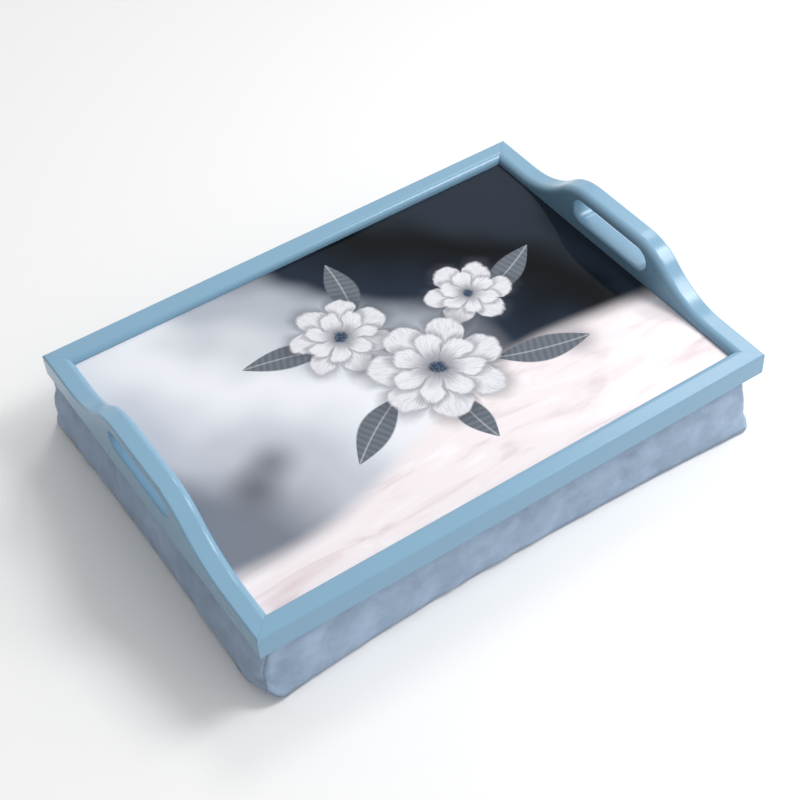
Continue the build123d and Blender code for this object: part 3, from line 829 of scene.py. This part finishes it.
def cushion_cover():
    """Sewn cover: swollen by the cloth simulation, creased at its seams, open at the zip."""
    mesh = mesh_from("cushion_cover", lambda made: cushion_bmesh(made, 0.0, 0.0))
    cover = new_piece("cushion_cover", mesh, cover_cloth)
    swell(cover, pressure=4.0, frames=20, most=2.4 * MM)
    holds, seams = mesh.attributes["hold"].data, mesh.attributes["seam_shade"].data
    for vertex, hold, seam in zip(mesh.vertices, holds, seams):
        point = vertex.co
        out = Vector((vertex.normal.x, vertex.normal.y, 0))
        if base_seam + seam_margin < point.z < top_seam - seam_margin and hold.value < 0.5:
            over_tapes = (point.y > base_half_y / 2
                          and abs(point.z - zip_middle) < tape_half + tape_margin)
            pucker = crumple(point)
            point = point + out * (max(pucker, 0.0) if over_tapes else pucker)
        if seam.value and base_seam - seam_margin < point.z < top_seam - seam_margin:
            point = point - out * seam_sink
        vertex.co = settle_under_tray(seated(point))
    cut = bmesh.new()
    cut.from_mesh(mesh)
    window = cut.faces.layers.int["window"]
    bmesh.ops.delete(cut, geom=[face for face in cut.faces if face[window]], context="FACES")
    cut.to_mesh(mesh)
    cut.free()
    thickness = cover.modifiers.new("cloth thickness", "SOLIDIFY")
    thickness.thickness, thickness.offset = cover_thickness, -1.0
    smoother = cover.modifiers.new("fine mesh", "SUBSURF")
    smoother.levels = smoother.render_levels = 1
    return cover


cover = cushion_cover()
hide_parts("cover_bottom", "cover_top", "gusset_front", "gusset_left", "gusset_right",
            "gusset_back_upper", "gusset_back_lower")
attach(cover, "cushion")


def bead_bag():
    """Inner bag of beads, which shows only through the gap of the zip."""
    mesh = mesh_from("bead_bag", lambda made: cushion_bmesh(made, bag_inset, bag_face_inset))
    for vertex in mesh.vertices:
        lump = noise.noise(vertex.co * bag_lumps) * bag_lump
        vertex.co = seated(vertex.co - vertex.normal * abs(lump))
    return new_piece("bead_bag", mesh, bag_cloth)


bag = bead_bag()
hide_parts("bead_liner", "bead_fill")
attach(bag, "cushion")


# Fastening tapes

def close_slab(made, lower, upper):
    """Faces of a closed slab between two grids of vertices."""
    rows, columns = len(lower) - 1, len(lower[0]) - 1
    for grid in (lower, upper):
        for a, b in zip(grid, grid[1:]):
            for n in range(columns):
                made.faces.new((a[n], a[n + 1], b[n + 1], b[n]))
    for j in (0, -1):
        for n in range(columns):
            made.faces.new((lower[j][n], lower[j][n + 1], upper[j][n + 1], upper[j][n]))
    for j in range(rows):
        for i in (0, -1):
            made.faces.new((lower[j][i], lower[j + 1][i], upper[j + 1][i], upper[j][i]))


# Pile, with a smooth band along its edges, and how many tufts there are to the metre
pile_step, edge_band, pile_sink = 2 * MM, 2.2 * MM, 0.45 * MM
pile_rough, pile_tufts = 0.12 * MM, 700


def tape_strip(name, material):
    """Strip of fastening tape: a thin body with a smooth edge band round a raised pile."""
    low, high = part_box(name)
    size = high - low

    def build(made):
        columns, rows = round(size.x / pile_step), round(size.y / pile_step)
        pile_up = name.startswith("loop")
        layers = []
        for level, sign in ((0.0, 1), (1.0, -1)):
            on_pile = (level == 1.0) == pile_up
            layer = []
            for j in range(rows + 1):
                line = []
                for i in range(columns + 1):
                    x, y = low.x + size.x * i / columns, low.y + size.y * j / rows
                    edge = min(x - low.x, high.x - x, y - low.y, high.y - y)
                    inward = 0.0
                    if on_pile and edge < edge_band:
                        inward = pile_sink * (1 - edge / edge_band)
                    elif on_pile:
                        tuft = noise.noise(Vector((x * pile_tufts, y * pile_tufts, 1.3)))
                        inward = pile_rough * abs(tuft)
                    line.append(made.verts.new((x, y, low.z + size.z * level + sign * inward)))
                layer.append(line)
            layers.append(layer)
        close_slab(made, *layers)

    strip = new_piece(f"{name}_pile", mesh_from(name, build), material, smooth=False)
    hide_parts(name)
    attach(strip, "tray" if name.startswith("hook") else "cushion")


for edge_name in ("front", "back", "left", "right"):
    tape_strip(f"hook_strip_{edge_name}", hook_pile)
    tape_strip(f"loop_strip_{edge_name}", loop_pile)


# Zip

coil_pitch, coil_wire, coil_sides = 1.5 * MM, 0.30 * MM, 8
tape_columns, tape_rows = 108, 6
tape_slack, slack_folds = 0.12 * MM, (60, 120)


def tube(made, points, radius, sides=6):
    """Round thread along a row of points, closed at both ends."""
    rings = []
    for n, point in enumerate(points):
        ahead = points[min(n + 1, len(points) - 1)] - points[max(n - 1, 0)]
        turn = ahead.to_track_quat("Z", "Y").to_matrix()
        rings.append([
            made.verts.new(point + turn @ Vector((radius * math.cos(a), radius * math.sin(a), 0)))
            for a in (2 * math.pi * k / sides for k in range(sides))])
    for a, b in zip(rings, rings[1:]):
        for k in range(sides):
            made.faces.new((a[k], a[(k + 1) % sides], b[(k + 1) % sides], b[k]))
    made.faces.new(rings[0])
    made.faces.new(rings[-1])


def zip_coil(name):
    """One side's teeth: a wire wound in a flat spiral along the tape's edge."""
    low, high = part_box(name)
    half_y = (high.y - low.y) / 2 - coil_wire
    half_z = (high.z - low.z) / 2 - coil_wire
    middle = (low + high) / 2

    def build(made):
        steps = int((high.x - low.x - 2 * coil_wire) / coil_pitch * coil_sides)
        points = []
        for n in range(steps + 1):
            angle = 2 * math.pi * n / coil_sides
            x = low.x + coil_wire + coil_pitch * n / coil_sides
            points.append(Vector((x, middle.y + half_y * math.cos(angle),
                                  middle.z + half_z * math.sin(angle))))
        tube(made, points, coil_wire)

    coil = new_piece(f"{name}_teeth", mesh_from(name, build), coil_plastic)
    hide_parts(name)
    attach(coil, "cushion")


def zip_tape(name):
    """One woven tape of the zip, with a fold of slack between its stitches."""
    low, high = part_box(name)
    size = high - low

    def build(made):
        faces_in_depth = []
        for depth in (0.0, size.y):
            grid = []
            for j in range(tape_rows + 1):
                z = low.z + size.z * j / tape_rows
                line = []
                for i in range(tape_columns + 1):
                    x = low.x + size.x * i / tape_columns
                    fold = noise.noise(Vector((x * slack_folds[0], z * slack_folds[1], 0.4)))
                    slack = tape_slack * fold
                    y = low.y + depth + (slack if 0 < j < tape_rows else 0.0)
                    line.append(made.verts.new((x, min(max(y, low.y), high.y), z)))
                grid.append(line)
            faces_in_depth.append(grid)
        close_slab(made, *faces_in_depth)

    tape = new_piece(f"{name}_weave", mesh_from(name, build), zip_cloth, smooth=False)
    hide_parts(name)
    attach(tape, "cushion")


for side in ("upper", "lower"):
    zip_coil(f"zip_coil_{side}")
    zip_tape(f"zip_tape_{side}")


# Stitches round the zip's window

stitch_length, stitch_gap = 2.4 * MM, 0.9 * MM
stitch_radius, stitch_setback = 0.22 * MM, 2.2 * MM
# One stitch: shares of its length from its middle, and depths in thread radii
stitch_form = (-0.5, 2.2), (-0.36, 0.6), (0.0, 0.0), (0.36, 0.6), (0.5, 2.2)


def window_stitches():
    """Rows of stitches above and below the zip, and across both its ends."""
    reach, rise = window_reach + 2 * stitch_setback, window_half + stitch_setback
    rows = [((-reach, side * rise), (reach, side * rise)) for side in (-1, 1)]
    rows += [((side * reach, -rise), (side * reach, rise)) for side in (-1, 1)]
    graph = bpy.context.evaluated_depsgraph_get()
    inward = Vector((0, -1, 0))

    def on_cover(across, up):
        """Point of the cover's outer face at a place counted from the middle of the zip."""
        behind = Vector((cushion_shift + across, 2 * base_half_y, zip_middle + up))
        return cover.ray_cast(behind, inward, depsgraph=graph)[1]

    def build(made):
        for start, end in rows:
            run = Vector(end) - Vector(start)
            count = round(run.length / (stitch_length + stitch_gap))
            forward = Vector((run.x, 0, run.y)).normalized()
            for n in range(count):
                middle = on_cover(*(Vector(start) + run * (n + 0.5) / count))
                points = [
                    middle + forward * stitch_length * share + inward * stitch_radius * dip
                    for share, dip in stitch_form]
                tube(made, points, stitch_radius)

    stitches = new_piece("window_stitches", mesh_from("window_stitches", build), thread)
    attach(stitches, "cushion")


window_stitches()


# Floor, light and camera

# Light from the surround goes from its dark side to its bright side, which lies at this azimuth
surround_strengths = 0.16, 0.95
bright_azimuth, bright_rise, shade_end = 70, 0.35, -0.85
# Strength, angle across, azimuth from the front towards +X, elevation: all but the first in degrees
suns = (("corner_sun", 0.38, 16, 127, 46), ("ridge_sun", 0.12, 6, 80, 56))
panel_size, panel_power = 0.42, 6.6
panel_azimuth, panel_elevation, panel_distance = 66, 50, 1.2
floor_reach = 6.0

# Camera: its line of sight in degrees, and the place that it looks at
view_azimuth, view_elevation, view_roll = -30.91, 46.47, -4.17
view_target, view_distance = Vector((-24.5, -39.3, 72.0)) * MM, 1151 * MM


def direction(azimuth, elevation):
    """Direction from the tray, at an azimuth from the front towards +X and an elevation."""
    a, e = math.radians(azimuth), math.radians(elevation)
    return Vector((math.sin(a) * math.cos(e), -math.cos(a) * math.cos(e), math.sin(e)))


def hang_lamp(lamp, towards, distance):
    """Hang a lamp at a distance from the tray's middle, shining back at it."""
    holder = bpy.data.objects.new(lamp.name, lamp)
    holder.rotation_mode = "QUATERNION"
    holder.rotation_quaternion = towards.to_track_quat("Z", "Y")
    holder.location = Vector((0, 0, ridge)) + towards * distance
    scene.collection.objects.link(holder)


def floor_and_light():
    """White floor that keeps the shadow, a white surround brighter on one side, soft suns and a panel."""
    corners = [Vector((x, y, 0)) * floor_reach for x, y in ((-1, -1), (1, -1), (1, 1), (-1, 1))]
    mesh = mesh_from("floor", lambda made: made.faces.new([made.verts.new(p) for p in corners]))
    material, tree, shader, place = new_material("pale_floor", Roughness=0.9, Specular_IOR_Level=0.0)
    look = mottled(tree, place, (0.97, 0.97, 0.97, 1), 2.0, 0.01, 300.0, 0.01)
    wire(tree, shader, Base_Color=look["Colour"])
    floor = new_piece("floor", mesh, material, smooth=False)

    world = bpy.data.worlds.new("surround")
    scene.world = world
    world.use_nodes = True
    tree = world.node_tree
    rays = put(tree, "ShaderNodeLightPath").outputs
    seen = maths(tree, "MAXIMUM", maths(tree, "MAXIMUM", rays["Is Camera Ray"], rays["Is Glossy Ray"]),
                 rays["Is Transmission Ray"])
    outward = put(tree, "ShaderNodeTexCoord").outputs["Generated"]
    brighter = direction(bright_azimuth, 0) + Vector((0, 0, bright_rise))
    sockets = {0: outward, 1: brighter}
    side = put(tree, "ShaderNodeVectorMath", sockets, operation="DOT_PRODUCT").outputs["Value"]
    lit = smooth_step(tree, side, shade_end, 1.0, *surround_strengths)
    strength = put(tree, "ShaderNodeMix", {0: seen, 2: lit, 3: 1.0}).outputs[0]
    background = tree.nodes["Background"]
    background.inputs["Color"].default_value = (1, 1, 1, 1)
    tree.links.new(strength, background.inputs["Strength"])

    for name, strength, angle, azimuth, elevation in suns:
        lamp = bpy.data.lights.new(name, "SUN")
        lamp.energy, lamp.angle = strength, math.radians(angle)
        hang_lamp(lamp, direction(azimuth, elevation), 0.0)
    panel = bpy.data.lights.new("key_panel", "AREA")
    panel.shape, panel.size, panel.energy = "SQUARE", panel_size, panel_power
    hang_lamp(panel, direction(panel_azimuth, panel_elevation), panel_distance)


def photo_camera():
    """Camera above the tray's front left corner, turned a little about its own line of sight."""
    back = direction(view_azimuth, view_elevation)
    roll = math.radians(view_roll)
    right = Vector((0, 0, 1)).cross(back).normalized()
    up = back.cross(right)
    camera_x = right * math.cos(roll) + up * math.sin(roll)
    camera_y = up * math.cos(roll) - right * math.sin(roll)
    lens = bpy.data.cameras.new("photo_camera")
    lens.lens, lens.sensor_width = 72, 36
    lens.clip_start, lens.clip_end = 0.05, 30
    camera = bpy.data.objects.new("photo_camera", lens)
    turn = Matrix((camera_x, camera_y, back)).transposed().to_4x4()
    camera.matrix_world = Matrix.Translation(view_target + back * view_distance) @ turn
    scene.collection.objects.link(camera)
    scene.camera = camera


floor_and_light()
photo_camera()
scene.view_settings.view_transform = "Standard"
